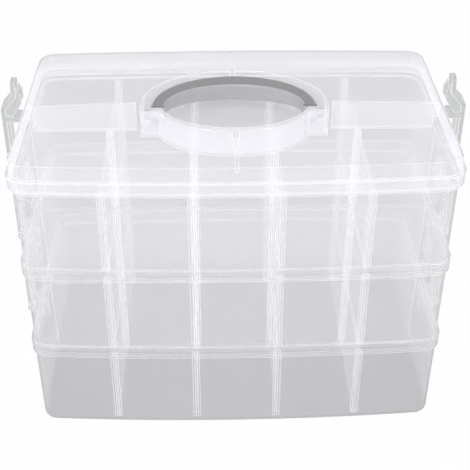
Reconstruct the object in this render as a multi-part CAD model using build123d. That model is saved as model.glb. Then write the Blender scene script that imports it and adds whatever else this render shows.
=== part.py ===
"""Stacking storage box: three divided trays, a lid with a folding handle, and side latches.

X runs along the box, -Y is the front, Z is up.  The origin is the centre of the
box on the surface that it stands on.  All sizes are in millimetres.
"""
from build123d import *
import math
import os

# Tray sizes.  Lengths and depths are inside the tray, at the ledge under the collar.
tray_length = 233.4
tray_depth = 140.2
front_bow = 4.5
rear_bow = 2.5
corner_radius = 7.5
tray_pitch = 54.8
nest_depth = 7.0
wall = 1.5
floor = 1.5
wall_draft = 0.5
foot_radius = 4.5
rib_bite = 0.2
cut_over = 1.0

# Collar around the tray's mouth, which takes the foot of the tier above.
collar_gap = 0.2
collar_wall = 1.2
collar_floor = 1.0

# Centre wall, dividers and the slots that hold them.
divider_spacing = 47.8
dividers_per_row = 4
centre_wall = 1.5
divider_thickness = 1.2
divider_corner = 4.0
divider_end_gap = 0.3
divider_top_gap = 0.2
slot_gap = 0.15
slot_depth = 2.0
slot_rib = 1.3
slot_rib_drop = 1.5

# Lid.
lid_wall = 1.4
lid_gap = 0.3
skirt_wall = 1.3
skirt_depth = 5.8
lid_height = 9.9
crown_inset = 0.4
crown_draft = 0.5
crown_rise = 2.4
crown_side_rise = 0.05
crown_edge_radius = 1.6
lid_rib = 1.3
lid_rib_gap = 0.7
lid_rib_start = 56.0
lid_rib_end_gap = 2.0
spine_wide = 3.4
spine_narrow = 1.6
spine_drop = 2.5

# Handle well in the lid.
well_rear_x = 51.5
well_rear_y = 39.0
well_front_x = 43.5
well_front_y = 33.0
well_floor_gap = 1.4
pocket_front_y = 9.6

# Handle.
handle_outer_x = 47.1
handle_outer_y = 38.0
handle_inner_x = 39.4
handle_inner_y = 25.8
handle_end_height = 6.6
handle_grip_height = 11.6
handle_sunk = 1.1
handle_round = 1.2
handle_axis_drop = 5.5
handle_boss_radius = 5.3
handle_shoulder_radius = 3.2
handle_shoulder_gap = 0.6
handle_pin_radius = 2.0
handle_pin_end_gap = 0.3
pin_clearance = 0.06

# Latch, measured from its pin.
latch_width = 11.0
latch_plate = 2.4
latch_pin_drop = 20.0
latch_pin_out = 7.4
latch_pin_radius = 1.5
latch_barrel_radius = 2.7
latch_step_height = 30.5
latch_step_rise = 7.5
latch_step_in = 6.9
latch_tab_height = 8.5
latch_tab_corner = 4.8
latch_bend = 2.2
latch_pin_end_gap = 0.3
hook_gap = 0.3
hook_side_gap = 0.9
hook_thickness = 2.4
hook_root = 4.2
hook_lead = 1.4
cheek_thickness = 1.6
cheek_inset = 0.9
cheek_foot = 1.7
cheek_reach = 2.6
cheek_nose = 5.0
cheek_tip_drop = 1.5

# Ears and keepers on the tray's ends.
ear_thickness = 2.0
ear_gap = 0.3
ear_radius = 2.8
ear_root_height = 12.0
keeper_width = 16.0
keeper_rim_gap = 0.3

# Levels and offsets that follow from the sizes above.
tray_height = tray_pitch + nest_depth
ledge = tray_pitch
collar_inner = wall + collar_gap
collar_outer = collar_inner + collar_wall
skirt_inner = collar_outer + lid_gap
skirt_outer = skirt_inner + skirt_wall
crown_outer = collar_outer - crown_inset
half_length = tray_length / 2
half_depth = tray_depth / 2
box_end = half_length + skirt_outer
pin_x = box_end + latch_pin_out
rim_top = tray_height
lid_base = 2 * tray_pitch + tray_height
crown_top = lid_base + lid_height
handle_top = crown_top - handle_sunk
handle_axis = handle_top - handle_axis_drop


def bow_at(x, bow):
    """How far a bowed wall has come in at a distance x from its middle."""
    radius = (half_length ** 2 + bow ** 2) / (2 * bow)
    return radius - math.sqrt(radius ** 2 - x ** 2)


def outline(grow, z):
    """The tray's rounded outline with its bowed long sides, grown outwards, at height z."""
    end = half_length + grow
    front = -half_depth - grow
    rear = half_depth + grow
    edges = [
        ThreePointArc((-end, front + front_bow), (0, front), (end, front + front_bow)),
        Line((end, front + front_bow), (end, rear - rear_bow)),
        ThreePointArc((end, rear - rear_bow), (0, rear), (-end, rear - rear_bow)),
        Line((-end, rear - rear_bow), (-end, front + front_bow)),
    ]
    face = make_face(edges)
    face = fillet(face.vertices(), corner_radius + grow)
    return Pos(0, 0, z) * face


def prism(grow, low, high):
    """An upright block of the tray's outline between two heights."""
    return extrude(outline(grow, low), high - low)


def tapered(grow_low, low, grow_high, high):
    """A block of the tray's outline that widens from one height to another."""
    return loft([outline(grow_low, low), outline(grow_high, high)])


def block(x0, x1, y0, y1, z0, z1):
    """An upright box between the given limits."""
    centre = Pos((x0 + x1) / 2, (y0 + y1) / 2, (z0 + z1) / 2)
    return centre * Box(x1 - x0, y1 - y0, z1 - z0)


def side_profile(points):
    """A flat face in the XZ plane from a list of (x, z) corners."""
    return Plane.XZ * make_face(Polyline(*points, close=True))


def across(face, y0, y1):
    """A face in the XZ plane, drawn out from y0 to y1."""
    return Pos(0, y0, 0) * extrude(face, y1 - y0, dir=(0, 1, 0))


def divider_positions():
    """Where the dividers stand along the tray."""
    middle = (dividers_per_row - 1) / 2
    return [(n - middle) * divider_spacing for n in range(dividers_per_row)]


def divider_reach():
    """How far from the centre line a divider's outer end lies, the same in both rows."""
    outermost = max(divider_positions())
    nearest = half_depth - max(bow_at(outermost, front_bow), bow_at(outermost, rear_bow))
    return nearest - wall_draft - divider_end_gap


def slot_ribs(x):
    """The upright ribs that hold the two dividers at one place along the tray."""
    side = divider_thickness / 2 + slot_gap
    tip = divider_reach() - slot_depth
    high = ledge - slot_rib_drop
    centre_tip = centre_wall / 2 + slot_depth
    ribs = []
    for x0 in (x - side - slot_rib, x + side):
        x1 = x0 + slot_rib
        front_root = half_depth - bow_at(x, front_bow) + rib_bite
        rear_root = half_depth - bow_at(x, rear_bow) + rib_bite
        ribs.append(block(x0, x1, -front_root, -tip, foot_radius, high))
        ribs.append(block(x0, x1, tip, rear_root, foot_radius, high))
        ribs.append(block(x0, x1, -centre_tip, centre_tip, floor / 2, high))
    return ribs


def ear():
    """One ear of a latch hinge at the +X end, as a face in the XZ plane."""
    root = half_length + wall / 2
    pin_z = rim_top - latch_pin_drop
    arm = side_profile([
        (root, pin_z - ear_root_height / 2),
        (pin_x, pin_z - ear_radius),
        (pin_x, pin_z + ear_radius),
        (root, pin_z + ear_root_height / 2),
    ])
    knuckle = Plane.XZ * Pos(pin_x, pin_z) * Circle(ear_radius)
    hole = Plane.XZ * Pos(pin_x, pin_z) * Circle(latch_pin_radius + pin_clearance)
    return arm + knuckle - hole


def end_fittings():
    """The ears and the keeper at the +X end of a tray."""
    inner = latch_width / 2 + ear_gap
    face = ear()
    keeper_low = nest_depth + keeper_rim_gap
    keeper_high = nest_depth + lid_wall
    root = half_length + wall / 2 - wall_draft
    return [
        across(face, inner, inner + ear_thickness),
        across(face, -inner - ear_thickness, -inner),
        block(root, box_end, -keeper_width / 2, keeper_width / 2, keeper_low, keeper_high),
    ]


def make_tray():
    """One tray: shell, collar, centre wall, slot ribs, and the fittings on its ends."""
    shell = tapered(wall - wall_draft, 0, wall, ledge)
    shell = fillet(shell.faces().sort_by(Axis.Z)[0].edges(), foot_radius)
    collar = prism(collar_outer, ledge - collar_floor, tray_height)
    hollow = tapered(-wall_draft, floor, 0, ledge)
    hollow = fillet(hollow.faces().sort_by(Axis.Z)[0].edges(), foot_radius - wall)
    mouth = prism(collar_inner, ledge, tray_height + cut_over)
    shell = (shell + collar) - [hollow, mouth]
    end = half_length + wall / 2 - wall_draft
    inside = [block(-end, end, -centre_wall / 2, centre_wall / 2, floor / 2, ledge)]
    for x in divider_positions():
        inside += slot_ribs(x)
    right = end_fittings()
    left = [mirror(fitting, Plane.YZ) for fitting in right]
    return shell + inside + right + left


def make_divider(x, row):
    """One divider: a thin plate standing in the slots at x, in the front (-1) or rear (1) row."""
    inner = centre_wall / 2 + divider_end_gap
    outer = divider_reach()
    top = ledge - divider_top_gap
    corners = [(inner, floor), (outer, floor), (outer, top), (inner, top)]
    face = Plane.YZ * make_face(Polyline(*corners, close=True))
    outer_corners = face.vertices().sort_by(Axis.Y)[2:]
    face = fillet(outer_corners, divider_corner)
    plate = extrude(face, divider_thickness / 2, both=True)
    if row < 0:
        plate = mirror(plate, Plane.XZ)
    return Pos(x, 0, 0) * plate


def crown_block(top):
    """A block whose upper side is the lid's gently domed top, with its edge at a height."""
    reach_x = box_end
    reach_y = half_depth + skirt_outer
    sections = []
    for y, rise in ((-reach_y, crown_side_rise), (0, crown_rise), (reach_y, crown_side_rise)):
        edges = [
            Line((-reach_x, 0), (reach_x, 0)),
            Line((reach_x, 0), (reach_x, top)),
            ThreePointArc((reach_x, top), (0, top + rise), (-reach_x, top)),
            Line((-reach_x, top), (-reach_x, 0)),
        ]
        sections.append(Plane(origin=(0, y, 0), x_dir=(1, 0, 0), z_dir=(0, -1, 0)) * make_face(edges))
    return loft(sections)


def half_ellipse(x_radius, y_radius, side):
    """Half of an ellipse on the centre line, in front (-1) or behind (1)."""
    keep = Rectangle(2 * x_radius, y_radius, align=(Align.CENTER, Align.MIN if side > 0 else Align.MAX))
    return Ellipse(x_radius, y_radius) & keep


def well_outline(grow):
    """The handle well's plan: a wide rear half, a finger recess in front and room for the ends."""
    width = 2 * (well_rear_x + grow)
    depth = pocket_front_y + grow
    well = half_ellipse(well_rear_x + grow, well_rear_y + grow, 1)
    well += half_ellipse(well_front_x + grow, well_front_y + grow, -1)
    well += Pos(0, -depth / 2) * Rectangle(width, depth)
    return well


def lid_ribs():
    """The two ribs under the lid's centre line, which close the gap over the centre wall."""
    low = lid_base - nest_depth + lid_rib_gap
    reach = half_length - lid_rib_end_gap
    end = half_length + crown_outer - crown_draft - lid_wall / 2
    under = crown_block(crown_top - lid_wall / 2)
    over = crown_top + crown_rise
    ribs = []
    for side in (-1, 1):
        deep = sorted((side * lid_rib_start, side * reach))
        high = sorted((side * lid_rib_start, side * end))
        ribs.append(block(*deep, -lid_rib / 2, lid_rib / 2, low, over) & under)
        ribs.append(block(*high, -lid_rib / 2, lid_rib / 2, lid_base + lid_gap, over) & under)
    return ribs


def lid_spines():
    """The two narrowing ribs that run under the lid from the handle well to its long edges."""
    under = crown_block(crown_top - lid_wall / 2)
    low = crown_top - lid_wall - spine_drop
    far = half_depth + crown_outer - crown_draft - lid_wall / 2
    spines = []
    for near, side in ((well_front_y, -1), (well_rear_y, 1)):
        corners = [
            (-spine_wide / 2, side * near),
            (spine_wide / 2, side * near),
            (spine_narrow / 2, side * far),
            (-spine_narrow / 2, side * far),
        ]
        plan = make_face(Polyline(*corners, close=True))
        spines.append(extrude(Pos(0, 0, low) * plan, 2 * spine_drop + crown_rise, dir=(0, 0, 1)) & under)
    return spines


def rod(radius, x0, x1, y, z):
    """A round bar along X."""
    return Pos((x0 + x1) / 2, y, z) * Rot(0, 90, 0) * Cylinder(radius, x1 - x0)


def make_lid():
    """The lid: skirt, ledge, domed crown, handle well, and the ribs under its top."""
    over = crown_top + 2 * crown_rise
    crown = tapered(crown_outer, lid_base, crown_outer - crown_draft, over) & crown_block(crown_top)
    crown = fillet(crown.faces().sort_by(Axis.Z)[-1].edges(), crown_edge_radius)
    inner = crown_outer - lid_wall
    inside = tapered(inner, lid_base, inner - crown_draft, over) & crown_block(crown_top - lid_wall)
    brim = prism(skirt_outer, lid_base - skirt_depth, lid_base + lid_wall)
    brim -= prism(skirt_inner, lid_base - skirt_depth, lid_base)
    well_low = lid_base - nest_depth + well_floor_gap
    well = extrude(Pos(0, 0, well_low) * well_outline(lid_wall), over - well_low) & crown_block(crown_top)
    cavity = extrude(Pos(0, 0, well_low + lid_wall) * well_outline(0), over - well_low)
    hole_radius = handle_pin_radius + pin_clearance
    hole_start = well_rear_x - handle_shoulder_gap
    hole_end = well_rear_x + 2 * lid_wall
    holes = [
        rod(hole_radius, *sorted((side * hole_start, side * hole_end)), 0, handle_axis)
        for side in (-1, 1)
    ]
    lid = (crown + brim) - inside
    lid = lid + [well] + lid_ribs() + lid_spines()
    return lid - [cavity] - holes


def make_handle():
    """The handle: a half-oval grip with a boss, a shoulder and a pin at each end."""
    slope = (handle_grip_height - handle_end_height) / handle_outer_y
    deepest = handle_grip_height + slope * cut_over
    grip = half_ellipse(handle_outer_x, handle_outer_y, 1) - Ellipse(handle_inner_x, handle_inner_y)
    grip = extrude(Pos(0, 0, handle_top - deepest - cut_over) * grip, deepest + cut_over)
    side = make_face(Polyline(
        (0, handle_top),
        (handle_outer_y + cut_over, handle_top),
        (handle_outer_y + cut_over, handle_top - deepest),
        (0, handle_top - handle_end_height),
        close=True,
    ))
    grip = grip & extrude(Plane.YZ * side, handle_outer_x + cut_over, both=True)
    long_edges = [edge for edge in grip.edges() if edge.center().Y > handle_round]
    grip = fillet(long_edges, handle_round)
    ends = []
    shoulder_end = well_rear_x - handle_shoulder_gap
    pin_end = well_rear_x + lid_wall - handle_pin_end_gap
    for side in (-1, 1):
        boss = sorted((side * handle_inner_x, side * handle_outer_x))
        shoulder = sorted((side * handle_inner_x, side * shoulder_end))
        pin = sorted((side * handle_inner_x, side * pin_end))
        ends.append(rod(handle_boss_radius, *boss, 0, handle_axis))
        ends.append(rod(handle_shoulder_radius, *shoulder, 0, handle_axis))
        ends.append(rod(handle_pin_radius, *pin, 0, handle_axis))
    return grip + ends


def latch_plate_face():
    """The latch's plate in the XZ plane, measured from its pin: upright, an S-bend, and a tab."""
    out = latch_barrel_radius
    back = out - latch_plate
    step_top = latch_step_height + latch_step_rise
    top = step_top + latch_tab_height
    slope = latch_plate / 2
    face = make_face(Polyline(
        (out, 0),
        (out, latch_step_height),
        (out - latch_step_in, step_top),
        (out - latch_step_in, top),
        (back - latch_step_in, top),
        (back - latch_step_in, step_top - slope),
        (back, latch_step_height - slope),
        (back, 0),
        close=True,
    ))
    low, high = latch_step_height - latch_plate, step_top + slope
    bends = [corner for corner in face.vertices() if low < corner.Y < high]
    return fillet(bends, latch_bend)


def latch_hook_face():
    """The hook that holds the ledge down, in the XZ plane, measured from the latch's pin."""
    back = latch_barrel_radius - latch_plate / 2
    low = latch_pin_drop + lid_wall + hook_gap
    tip = half_length + crown_outer + hook_side_gap - pin_x
    return make_face(Polyline(
        (tip, low),
        (back, low),
        (back, low + hook_root),
        (tip + hook_lead, low + hook_thickness),
        (tip, low + hook_thickness / 2),
        close=True,
    ))


def latch_cheek_face():
    """The web behind each side of the plate, in the XZ plane, measured from the latch's pin."""
    back = latch_barrel_radius - latch_plate
    middle = back + latch_plate / 2
    low = latch_pin_drop + lid_wall + hook_gap
    step_top = latch_step_height + latch_step_rise
    nose = back - latch_step_in - cheek_reach
    tip = step_top + latch_tab_height - cheek_tip_drop
    return make_face(Polyline(
        (middle, 0),
        (back - cheek_foot, latch_barrel_radius),
        (back - cheek_foot, low),
        (nose, step_top - cheek_nose),
        (nose, step_top),
        (middle - latch_step_in, tip),
        (middle - latch_step_in, step_top),
        (middle, latch_step_height),
        close=True,
    ))


def make_latch():
    """One latch at the +X end of the bottom tray: plate, hook, cheeks, barrel and pins."""
    half = latch_width / 2
    side = half - cheek_inset
    plate = Plane.XZ * latch_plate_face()
    hook = Plane.XZ * latch_hook_face()
    cheek = Plane.XZ * latch_cheek_face()
    top = latch_step_height + latch_step_rise + latch_tab_height
    low = latch_barrel_radius
    arch = Pos(0, (top - low) / 2) * Rectangle(latch_width, top + low)
    arch = fillet(arch.vertices().sort_by(Axis.Y)[2:], latch_tab_corner)
    body = across(plate, -half, half) & extrude(Plane.YZ * arch, 2 * latch_pin_out, both=True)
    body += [
        across(hook, -half, half),
        across(cheek, side - cheek_thickness, side),
        across(cheek, -side, cheek_thickness - side),
        Rot(90, 0, 0) * Cylinder(latch_barrel_radius, latch_width),
    ]
    pin_length = latch_width + 2 * (ear_gap + ear_thickness - latch_pin_end_gap)
    body += Rot(90, 0, 0) * Cylinder(latch_pin_radius, pin_length)
    return Pos(pin_x, 0, rim_top - latch_pin_drop) * body


def save(solid, name):
    """Write one sub-part under its node's name."""
    export_step(solid, os.path.join("parts", name + ".step"))


def main():
    """Build every sub-part once and write each copy at its place in the stack."""
    os.makedirs("parts", exist_ok=True)
    tray = make_tray()
    latch = make_latch()
    for level, tier in enumerate(("bottom", "middle", "top")):
        up = Pos(0, 0, level * tray_pitch)
        save(up * tray, "tray_" + tier)
        save(up * latch, "latch_" + tier + "_right")
        save(up * mirror(latch, Plane.YZ), "latch_" + tier + "_left")
        for row, side in (("front", -1), ("rear", 1)):
            for number, x in enumerate(divider_positions(), 1):
                save(up * make_divider(x, side), "divider_" + tier + "_" + row + "_" + str(number))
    save(make_lid(), "lid")
    save(make_handle(), "handle")


main()
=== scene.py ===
# %% [markdown]
# A stacking carry box for small craft supplies: three divided trays of milky see-through
# plastic, a domed lid with a folding grey handle, and a latch at each end of every tray.
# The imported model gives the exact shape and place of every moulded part, so this script
# starts from it and spends its effort on what a drawing can't hold: the plastic itself
# and the light in it.

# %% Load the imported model
import math

import bpy
from mathutils import Matrix, Vector

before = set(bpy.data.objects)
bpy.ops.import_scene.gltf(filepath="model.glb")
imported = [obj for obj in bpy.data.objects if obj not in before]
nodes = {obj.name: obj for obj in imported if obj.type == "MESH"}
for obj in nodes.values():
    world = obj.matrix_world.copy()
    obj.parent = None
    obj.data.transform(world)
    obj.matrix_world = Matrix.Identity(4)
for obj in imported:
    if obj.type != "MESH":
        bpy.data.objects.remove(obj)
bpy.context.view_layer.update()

# %% [markdown]
# The camera stands where the photographer stood: in front of the box, a little to the
# left, looking down at about 34 degrees. The place and the lens were worked out from the
# box's own straight lines. A camera in Blender looks along its own -Z, so the turn is
# built from the three directions to its right, up and back.

# %% Camera
CAMERA_PLACE = Vector((-0.0119, -0.518, 0.4441))
CAMERA_YAW = math.radians(1.38)
CAMERA_PITCH = math.radians(34.32)
CAMERA_ROLL = math.radians(0.07)
LENS_MM = 77.65
SENSOR_MM = 36.0


def camera_turn(yaw, pitch, roll):
    """The camera's turn, from how far it looks to the right and down, and how far it tilts."""
    level = math.cos(pitch)
    ahead = Vector((math.sin(yaw) * level, math.cos(yaw) * level, -math.sin(pitch)))
    right = Vector((math.cos(yaw), -math.sin(yaw), 0.0))
    up = right.cross(ahead)
    turn = Matrix((right, up, -ahead)).transposed().to_4x4()
    return turn @ Matrix.Rotation(roll, 4, "Z")


camera_data = bpy.data.cameras.new("camera")
camera_data.lens = LENS_MM
camera_data.sensor_width = SENSOR_MM
camera = bpy.data.objects.new("camera", camera_data)
bpy.context.scene.collection.objects.link(camera)
turn = camera_turn(CAMERA_YAW, CAMERA_PITCH, CAMERA_ROLL)
camera.matrix_world = Matrix.Translation(CAMERA_PLACE) @ turn
bpy.context.scene.camera = camera
bpy.context.scene.view_settings.view_transform = "Standard"
print("camera at", [round(x, 3) for x in CAMERA_PLACE])

# %% [markdown]
# A line of sight through this box meets many see-through surfaces: two for each wall,
# divider and floor, in the lid and three trays. Cycles gives up after eight and shows
# black there, so the scene allows as many as the box can have in a row.

# %% How many see-through surfaces a ray may cross
SURFACES_IN_A_ROW = 64
bpy.context.scene.cycles.transparent_max_bounces = SURFACES_IN_A_ROW

# %% [markdown]
# Every material is a small tree of nodes. A few helpers keep the trees short to write:
# they add a node with its settings, do a sum, make a pattern that stays on its piece, and
# blend two numbers or two colours.


# %% Node helpers
def start_material(name):
    """A new material with nothing in it but its output."""
    material = bpy.data.materials.new(name)
    material.use_nodes = True
    tree = material.node_tree
    tree.nodes.clear()
    return material, tree, tree.nodes.new("ShaderNodeOutputMaterial")


def add(tree, kind, **settings):
    """A new node of that kind, with its settings."""
    node = tree.nodes.new("ShaderNode" + kind)
    for key, value in settings.items():
        setattr(node, key, value)
    return node


def math_node(tree, operation, first, second=None):
    """A Math node fed by sockets or plain numbers."""
    node = add(tree, "Math", operation=operation)
    for socket, value in zip(node.inputs, (first, second)):
        if value is None:
            continue
        if isinstance(value, (int, float)):
            socket.default_value = value
        else:
            tree.links.new(value, socket)
    return node.outputs[0]


def noise(tree, scale, detail):
    """A noise pattern fixed to the piece, with this many blotches to the metre."""
    place = add(tree, "TexCoord")
    pattern = add(tree, "TexNoise")
    pattern.inputs["Scale"].default_value = scale
    pattern.inputs["Detail"].default_value = detail
    tree.links.new(place.outputs["Object"], pattern.inputs["Vector"])
    return pattern.outputs["Fac"]


def between(tree, factor, first, second):
    """A number that goes from the first to the second with a factor from 0 to 1."""
    mix = add(tree, "MapRange", clamp=True)
    mix.inputs["To Min"].default_value = first
    mix.inputs["To Max"].default_value = second
    tree.links.new(factor, mix.inputs["Value"])
    return mix.outputs["Result"]


def blend_colours(tree, factor, first, second):
    """A colour that goes from the first to the second; each is a socket or three numbers."""
    mix = add(tree, "Mix", data_type="RGBA")
    tree.links.new(factor, mix.inputs["Factor"])
    for socket, colour in ((mix.inputs["A"], first), (mix.inputs["B"], second)):
        if isinstance(colour, tuple):
            socket.default_value = (*colour, 1.0)
        else:
            tree.links.new(colour, socket)
    return mix.outputs["Result"]


def seen_directly(tree):
    """1 for what the camera sees straight on, in gloss or through glass, and 0 for light."""
    path = add(tree, "LightPath")
    seen = math_node(tree, "MAXIMUM", path.outputs["Is Camera Ray"], path.outputs["Is Glossy Ray"])
    return math_node(tree, "MAXIMUM", seen, path.outputs["Is Transmission Ray"])


# %% [markdown]
# The box was photographed on white. Seen past the box, the floor is given as almost plain
# white, so that the background stays white without turning up the lamps. Seen through the
# plastic it is a lit grey surface, and darker under the box, in place of the shade under a
# box that stands flat. That is why the lowest tray looks the greyest: there is the least
# milky plastic between the eye and the dark part of the floor.

# %% Floor
FLOOR_HALF = 3.0
FLOOR_DROP = 0.0002
FLOOR_COLOUR = (0.50, 0.50, 0.505)
SHADED_COLOUR = (0.34, 0.34, 0.345)
SHADE_REACH = (0.118, 0.071)
SHADE_SOFTNESS = 0.045
PLAIN_WHITE_SHARE = 0.99

bpy.ops.object.select_all(action="DESELECT")
bpy.ops.mesh.primitive_plane_add(size=2 * FLOOR_HALF, location=(0, 0, -FLOOR_DROP))
floor = bpy.context.object
floor.name = "floor"


def fade(tree, distance, reach, softness):
    """1 up to a reach, falling smoothly to 0 over the softness beyond it."""
    ramp = add(tree, "MapRange", interpolation_type="SMOOTHSTEP")
    ramp.inputs["From Min"].default_value = reach
    ramp.inputs["From Max"].default_value = reach + softness
    ramp.inputs["To Min"].default_value = 1.0
    ramp.inputs["To Max"].default_value = 0.0
    tree.links.new(distance, ramp.inputs["Value"])
    return ramp.outputs["Result"]


def under_the_box(tree):
    """1 on the floor under the box, fading to 0 around it."""
    place = add(tree, "TexCoord")
    parts = add(tree, "SeparateXYZ")
    tree.links.new(place.outputs["Object"], parts.inputs[0])
    fades = []
    for axis, reach in zip("XY", SHADE_REACH):
        distance = math_node(tree, "ABSOLUTE", parts.outputs[axis])
        fades.append(fade(tree, distance, reach, SHADE_SOFTNESS))
    return math_node(tree, "MULTIPLY", *fades)


material, tree, output = start_material("white floor")
matt = add(tree, "BsdfDiffuse")
tone = blend_colours(tree, under_the_box(tree), FLOOR_COLOUR, SHADED_COLOUR)
tree.links.new(tone, matt.inputs["Color"])
plain = add(tree, "Emission")
share = add(tree, "MixShader")
path = add(tree, "LightPath")
past_the_box = math_node(tree, "LESS_THAN", path.outputs["Transparent Depth"], 0.5)
weight = math_node(tree, "MULTIPLY", seen_directly(tree), PLAIN_WHITE_SHARE)
weight = math_node(tree, "MULTIPLY", weight, past_the_box)
tree.links.new(weight, share.inputs[0])
tree.links.new(matt.outputs[0], share.inputs[1])
tree.links.new(plain.outputs[0], share.inputs[2])
tree.links.new(share.outputs[0], output.inputs["Surface"])
floor.data.materials.append(material)

# %% [markdown]
# The world gives a weak even light from all round. What the camera sees of it, straight or
# in gloss, is plain white.

# %% World
AMBIENT_COLOUR = (0.97, 0.975, 1.0, 1.0)
AMBIENT_STRENGTH = 0.30
PLAIN_WHITE = (1.0, 1.0, 1.0, 1.0)

world = bpy.data.worlds.new("studio")
bpy.context.scene.world = world
world.use_nodes = True
tree = world.node_tree
tree.nodes.clear()
output = tree.nodes.new("ShaderNodeOutputWorld")
ambient = add(tree, "Background")
ambient.inputs["Color"].default_value = AMBIENT_COLOUR
ambient.inputs["Strength"].default_value = AMBIENT_STRENGTH
white = add(tree, "Background")
white.inputs["Color"].default_value = PLAIN_WHITE
share = add(tree, "MixShader")
tree.links.new(seen_directly(tree), share.inputs[0])
tree.links.new(ambient.outputs[0], share.inputs[1])
tree.links.new(white.outputs[0], share.inputs[2])
tree.links.new(share.outputs[0], output.inputs["Surface"])

# %% [markdown]
# A product photographer lights clear plastic with large soft boxes, because small lamps
# leave hard spots in it. The main one stands beside the camera, so upright faces are
# lighter than level ones, as on the handle. Weaker ones stand at the sides, behind and
# overhead, so that light comes from all round and the dividers, which the camera sees
# almost edge-on, are as bright as the walls. Their light is worked out from each surface
# towards the lamp alone, which keeps the inside of the box free of noise.

# %% Lamps
BOX_MIDDLE = Vector((0.0, 0.0, 0.09))
LAMP_SIZE = 1.2


def soft_box(name, place, power):
    """A square soft lamp that faces the middle of the box."""
    lamp = bpy.data.lights.new(name, "AREA")
    lamp.shape = "SQUARE"
    lamp.size = LAMP_SIZE
    lamp.energy = power
    lamp.cycles.use_multiple_importance_sampling = False
    holder = bpy.data.objects.new(name, lamp)
    bpy.context.scene.collection.objects.link(holder)
    facing = (BOX_MIDDLE - Vector(place)).to_track_quat("-Z", "Y")
    holder.matrix_world = Matrix.Translation(place) @ facing.to_matrix().to_4x4()


soft_box("lamp front", (-0.20, -1.5, 0.65), 16.4)
soft_box("lamp left", (-1.4, -0.1, 0.55), 9.0)
soft_box("lamp right", (1.4, -0.1, 0.55), 9.0)
soft_box("lamp rear", (0.0, 1.5, 0.6), 8.1)
soft_box("lamp overhead", (0.0, 0.0, 1.6), 5.9)

# %% [markdown]
# The trays and the lid are natural polypropylene, about 1.5 mm thick. It isn't clear like
# glass: fine crystals in it scatter the light, so a wall looks like thin milk, what stands
# behind it shows through a little greyer, and the more plastic the eye looks through, as
# along a rib, a rim or a wall seen edge-on, the whiter it gets. Real scattering in thin
# walls is slow to render and noisy. Instead each surface lets most of the view through
# with a slight tint, and adds a share of lit white. The share grows at moulded edges,
# which the Bevel node finds, and on surfaces seen at a slant. Part of the white is lit
# from behind, as light goes through such plastic, and shadows of it are thin.


# %% Milky plastic
WHITE = (1.0, 1.0, 1.0)
PALE = (0.90, 0.90, 0.915)
COOL_WHITE = (0.97, 0.97, 1.0)
GREYISH = (0.66, 0.665, 0.665)
GREYISH_EDGE = (0.95, 0.95, 0.95)
TINT = (0.985, 0.985, 0.987)
GREYISH_TINT = (0.90, 0.905, 0.905)
EDGE_RADIUS = 0.0007
EDGE_FLAT, EDGE_TURNED = 0.995, 0.80
SLANT_POWER = 3.0
BACKLIT_SHARE = 0.4
SHADOW_SHARE = 0.08
INDEX_OF_REFRACTION = 1.49
CLOUD_SCALE, CLOUD_DETAIL = 38.0, 3.0
CLOUD_SHADE = 0.95
SMOOTHEST, ROUGHEST = 0.24, 0.38
WAVE_STRENGTH, WAVE_HEIGHT = 0.08, 0.0006


def edge_whiteness(tree):
    """0 on flat surfaces, rising to 1 along edges that turn within the radius."""
    rounded = add(tree, "Bevel", samples=6)
    rounded.inputs["Radius"].default_value = EDGE_RADIUS
    flat = add(tree, "NewGeometry")
    along = add(tree, "VectorMath", operation="DOT_PRODUCT")
    tree.links.new(rounded.outputs["Normal"], along.inputs[0])
    tree.links.new(flat.outputs["Normal"], along.inputs[1])
    ramp = add(tree, "MapRange", clamp=True)
    ramp.inputs["From Min"].default_value = EDGE_TURNED
    ramp.inputs["From Max"].default_value = EDGE_FLAT
    ramp.inputs["To Min"].default_value = 1.0
    ramp.inputs["To Max"].default_value = 0.0
    tree.links.new(along.outputs["Value"], ramp.inputs["Value"])
    return ramp.outputs["Result"]


def whiteness(tree, edges, veil, edge_veil, slant_veil):
    """The share of white that a surface adds: on the flat, at edges and at a slant."""
    weight = add(tree, "LayerWeight")
    slant = math_node(tree, "POWER", weight.outputs["Facing"], SLANT_POWER)
    share = math_node(tree, "ADD", between(tree, edges, veil, edge_veil),
                      math_node(tree, "MULTIPLY", slant, slant_veil))
    return math_node(tree, "MINIMUM", share, 1.0)


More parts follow.
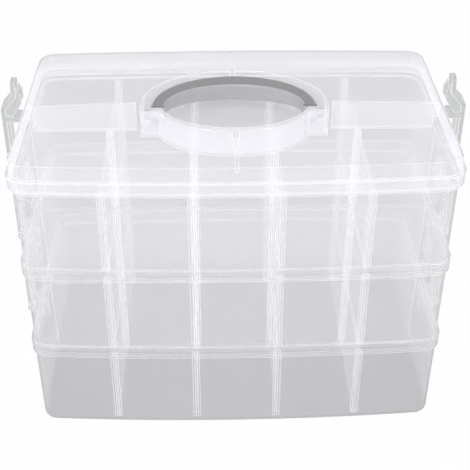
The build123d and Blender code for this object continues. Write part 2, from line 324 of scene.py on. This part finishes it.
def milky_plastic(name, body, edge, veil, edge_veil, slant_veil, tint):
    """See-through milky plastic: its whites, how much of them it adds, and its tint."""
    material, tree, output = start_material(name)
    edges = edge_whiteness(tree)
    clouds = noise(tree, CLOUD_SCALE, CLOUD_DETAIL)
    shade = blend_colours(tree, clouds, tuple(CLOUD_SHADE * c for c in body), body)
    colour = blend_colours(tree, edges, shade, edge)

    waves = add(tree, "Bump")
    waves.inputs["Strength"].default_value = WAVE_STRENGTH
    waves.inputs["Distance"].default_value = WAVE_HEIGHT
    tree.links.new(clouds, waves.inputs["Height"])

    plastic = add(tree, "BsdfPrincipled")
    plastic.inputs["IOR"].default_value = INDEX_OF_REFRACTION
    tree.links.new(colour, plastic.inputs["Base Color"])
    tree.links.new(between(tree, clouds, SMOOTHEST, ROUGHEST), plastic.inputs["Roughness"])
    tree.links.new(waves.outputs["Normal"], plastic.inputs["Normal"])
    backlit = add(tree, "BsdfTranslucent")
    tree.links.new(colour, backlit.inputs["Color"])
    white = add(tree, "MixShader")
    white.inputs[0].default_value = BACKLIT_SHARE
    tree.links.new(plastic.outputs[0], white.inputs[1])
    tree.links.new(backlit.outputs[0], white.inputs[2])

    path = add(tree, "LightPath")
    shadow = path.outputs["Is Shadow Ray"]
    through = add(tree, "BsdfTransparent")
    tree.links.new(blend_colours(tree, shadow, tint, WHITE), through.inputs["Color"])
    share = whiteness(tree, edges, veil, edge_veil, slant_veil)
    share = math_node(tree, "MULTIPLY", share, between(tree, shadow, 1.0, SHADOW_SHARE))
    surface = add(tree, "MixShader")
    tree.links.new(share, surface.inputs[0])
    tree.links.new(through.outputs[0], surface.inputs[1])
    tree.links.new(white.outputs[0], surface.inputs[2])
    tree.links.new(surface.outputs[0], output.inputs["Surface"])
    return material


TRAY_PLASTIC = milky_plastic("tray plastic", PALE, WHITE, 0.085, 0.80, 0.25, TINT)
DIVIDER_PLASTIC = milky_plastic("divider plastic", PALE, WHITE, 0.09, 0.75, 0.12, TINT)
LID_PLASTIC = milky_plastic("lid plastic", COOL_WHITE, WHITE, 0.19, 0.85, 0.30, TINT)
LATCH_PLASTIC = milky_plastic("latch plastic", GREYISH, GREYISH_EDGE, 0.42, 0.85, 0.30, GREYISH_TINT)

# %% [markdown]
# The handle is moulded in an opaque grey. Its flat top has a fine matt grain from the
# mould and is painted darker, as painted shade, and the walls and rounded edges are painted
# lighter, as painted light from the front lamp; they are also smooth and catch the light.
# The piece's own surface direction tells the two apart, so the painted shade and the finish
# stay in their place when the handle swings up.


# %% Grey handle plastic
# The darker top grey is painted shade, and the lighter side grey is painted light from the front
# lamp.
SHADED_TOP_GREY = (0.14, 0.14, 0.144)
LIT_SIDE_GREY = (0.41, 0.41, 0.43)
LEVEL_FROM, LEVEL_TO = 0.90, 0.99
MOTTLE_SCALE, MOTTLE_DETAIL = 120.0, 4.0
MOTTLE_SHADE, MOTTLE_SHARE = 1.06, 0.25
SIDE_ROUGHNESS, TOP_ROUGHNESS = 0.28, 0.48
GRAIN_SCALE, GRAIN_DETAIL = 900.0, 2.0
GRAIN_STRENGTH, GRAIN_HEIGHT = 0.15, 0.0001


def on_top(tree):
    """1 on the faces that look straight up in the piece's own place, and 0 elsewhere."""
    place = add(tree, "TexCoord")
    parts = add(tree, "SeparateXYZ")
    tree.links.new(place.outputs["Normal"], parts.inputs[0])
    ramp = add(tree, "MapRange", clamp=True)
    ramp.inputs["From Min"].default_value = LEVEL_FROM
    ramp.inputs["From Max"].default_value = LEVEL_TO
    tree.links.new(parts.outputs["Z"], ramp.inputs["Value"])
    return ramp.outputs["Result"]


def grey_plastic():
    """Opaque grey plastic, matt and painted darker on its flat top as painted shade, and smoother
    and painted lighter on its sides as painted light.
    """
    material, tree, output = start_material("grey handle plastic")
    plastic = add(tree, "BsdfPrincipled")
    top = on_top(tree)
    clouds = noise(tree, MOTTLE_SCALE, MOTTLE_DETAIL)
    # Painted shade on the flat top and painted light on the walls and edges.
    shade = blend_colours(tree, top, LIT_SIDE_GREY, SHADED_TOP_GREY)
    mottled = blend_colours(tree, clouds, shade, tuple(MOTTLE_SHADE * c for c in SHADED_TOP_GREY))
    colour = blend_colours(tree, between(tree, clouds, 0.0, MOTTLE_SHARE), shade, mottled)
    tree.links.new(colour, plastic.inputs["Base Color"])
    tree.links.new(between(tree, top, SIDE_ROUGHNESS, TOP_ROUGHNESS), plastic.inputs["Roughness"])
    grain = add(tree, "Bump")
    grain.inputs["Strength"].default_value = GRAIN_STRENGTH
    grain.inputs["Distance"].default_value = GRAIN_HEIGHT
    tree.links.new(noise(tree, GRAIN_SCALE, GRAIN_DETAIL), grain.inputs["Height"])
    tree.links.new(grain.outputs["Normal"], plastic.inputs["Normal"])
    tree.links.new(plastic.outputs[0], output.inputs["Surface"])
    return material


HANDLE_PLASTIC = grey_plastic()


# %% Give every moulded part its plastic
def plastic_of(name):
    """The plastic that a moulded part is made of, from its name."""
    kinds = {"tray": TRAY_PLASTIC, "divider": DIVIDER_PLASTIC, "lid": LID_PLASTIC,
             "latch": LATCH_PLASTIC, "handle": HANDLE_PLASTIC}
    return kinds[name.split("_")[0]]


for name, part in nodes.items():
    part.data.materials.clear()
    part.data.materials.append(plastic_of(name))
print("plastics given to", len(nodes), "parts")
